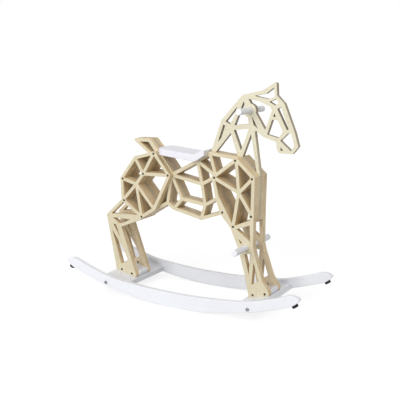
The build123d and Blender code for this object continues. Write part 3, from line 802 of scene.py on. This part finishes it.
@dataclass
class Lamp:
    """A soft rectangular lamp that faces the horse."""

    name: str
    turn: float  # degrees round the horse, from behind the camera's side at 0
    rise: float  # degrees above the floor
    distance: float
    size: float
    power: float

    def build(self, target: Vector) -> None:
        """Hangs the lamp.

        Args:
            target: the point that it faces.
        """
        data = bpy.data.lights.new(self.name, "AREA")
        data.shape = "SQUARE"
        data.size = self.size
        data.energy = self.power
        lamp = bpy.data.objects.new(self.name, data)
        level = cos(radians(self.rise))
        way = Vector((sin(radians(self.turn)) * level, -cos(radians(self.turn)) * level, sin(radians(self.rise))))
        lamp.location = target + self.distance * way
        lamp.rotation_euler = way.to_track_quat("Z", "Y").to_euler()
        bpy.context.scene.collection.objects.link(lamp)


@dataclass
class Studio:
    """White floor, soft lamps and the camera."""

    camera_place: tuple[float, float, float] = (1.09809, -1.85256, 0.72985)
    camera_turn: float = 30.296
    camera_dip: float = 11.327
    lens: float = 66.17
    floor_size: float = 60.0
    floor_white: Colour = (0.54, 0.53, 0.51, 1)
    floor_seen: Colour = (0.30, 0.30, 0.31, 1)
    floor_glow: float = 0.79
    shadow_reach: float = 0.75  # from the middle, where the floor starts to fade to white
    fade: float = 0.60
    fade_share: float = 0.35
    fade_glow: float = 1.25
    room_light: float = 0.515
    room_tint: Colour = (1.0, 0.980, 0.945, 1)
    lamps: list[Lamp] = field(
        default_factory=lambda: [
            Lamp("key", turn=-8.0, rise=20.0, distance=3.4, size=2.2, power=77.0),
            Lamp("crown", turn=60.0, rise=50.0, distance=3.4, size=1.6, power=25.0),
        ]
    )

    def floor(self) -> None:
        """Lays the floor, which looks white and keeps the horse's shadow."""
        bpy.ops.object.select_all(action="DESELECT")
        bpy.ops.mesh.primitive_plane_add(size=self.floor_size, location=(0, 0, 0))
        ground = bpy.context.active_object
        ground.name = "floor"
        shader = Shader("floor_white")
        rays = shader.node("ShaderNodeLightPath").outputs
        seen = shader.math("MAXIMUM", rays["Is Camera Ray"], rays["Is Glossy Ray"])
        distance = shader.node("ShaderNodeVectorMath", {0: shader.place["Object"]}, operation="LENGTH").outputs["Value"]
        away = shader.step(distance, self.shadow_reach, self.shadow_reach + self.fade)
        glow = shader.node("ShaderNodeEmission", {"Strength": shader.math("MULTIPLY", seen, self.floor_glow)})
        matt = shader.node("ShaderNodeBsdfDiffuse", {"Color": shader.blend(seen, self.floor_white, self.floor_seen)})
        near = shader.node("ShaderNodeAddShader", {0: glow.outputs[0], 1: matt.outputs[0]})
        white = shader.node("ShaderNodeEmission", {"Strength": self.fade_glow})
        fading = shader.math("MULTIPLY", shader.math("MULTIPLY", seen, away), self.fade_share)
        both = shader.node("ShaderNodeMixShader", {0: fading, 1: near.outputs[0], 2: white.outputs[0]})
        shader.node("ShaderNodeOutputMaterial", {"Surface": both.outputs[0]})
        shader.material.cycles.emission_sampling = "NONE"
        dress(ground, shader.material)
        ground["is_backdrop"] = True

    def room(self) -> None:
        """Fills the room with even light, and shows white behind everything."""
        world = bpy.data.worlds.new("room")
        bpy.context.scene.world = world
        world.use_nodes = True
        nodes, links = world.node_tree.nodes, world.node_tree.links
        nodes.clear()
        rays = nodes.new("ShaderNodeLightPath")
        seen = nodes.new("ShaderNodeMath")
        seen.operation = "MAXIMUM"
        links.new(rays.outputs["Is Camera Ray"], seen.inputs[0])
        links.new(rays.outputs["Is Glossy Ray"], seen.inputs[1])
        strength = nodes.new("ShaderNodeMix")
        strength.inputs[2].default_value = self.room_light
        strength.inputs[3].default_value = 1.0
        links.new(seen.outputs[0], strength.inputs[0])
        tint = nodes.new("ShaderNodeMix")
        tint.data_type = "RGBA"
        tint.inputs[6].default_value = self.room_tint
        tint.inputs[7].default_value = (1, 1, 1, 1)
        links.new(seen.outputs[0], tint.inputs[0])
        light = nodes.new("ShaderNodeBackground")
        links.new(tint.outputs[2], light.inputs["Color"])
        links.new(strength.outputs[0], light.inputs["Strength"])
        output = nodes.new("ShaderNodeOutputWorld")
        links.new(light.outputs[0], output.inputs[0])

    def camera(self) -> None:
        """Sets up the camera."""
        data = bpy.data.cameras.new("camera")
        data.lens = self.lens
        data.sensor_width = 36.0
        data.clip_end = 50.0
        data.dof.use_dof = False
        camera = bpy.data.objects.new("camera", data)
        camera.location = self.camera_place
        camera.rotation_euler = (radians(90 - self.camera_dip), 0, radians(self.camera_turn))
        bpy.context.scene.collection.objects.link(camera)
        bpy.context.scene.camera = camera
        bpy.context.scene.view_settings.view_transform = "Standard"

    def build(self) -> None:
        """Builds the whole studio."""
        low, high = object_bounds()
        target = (Vector(low) + Vector(high)) / 2
        self.floor()
        self.room()
        for lamp in self.lamps:
            lamp.build(target)
        self.camera()
        log.info("studio: floor, room, %d lamps and camera", len(self.lamps))


def main() -> None:
    """Builds and dresses the horse, then the studio round it."""
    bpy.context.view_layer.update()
    LatticeBody().build()
    PaintedWood().build()
    Bumpers().build()
    Fittings().build()
    Studio().build()


if __name__ == "__main__":
    main()
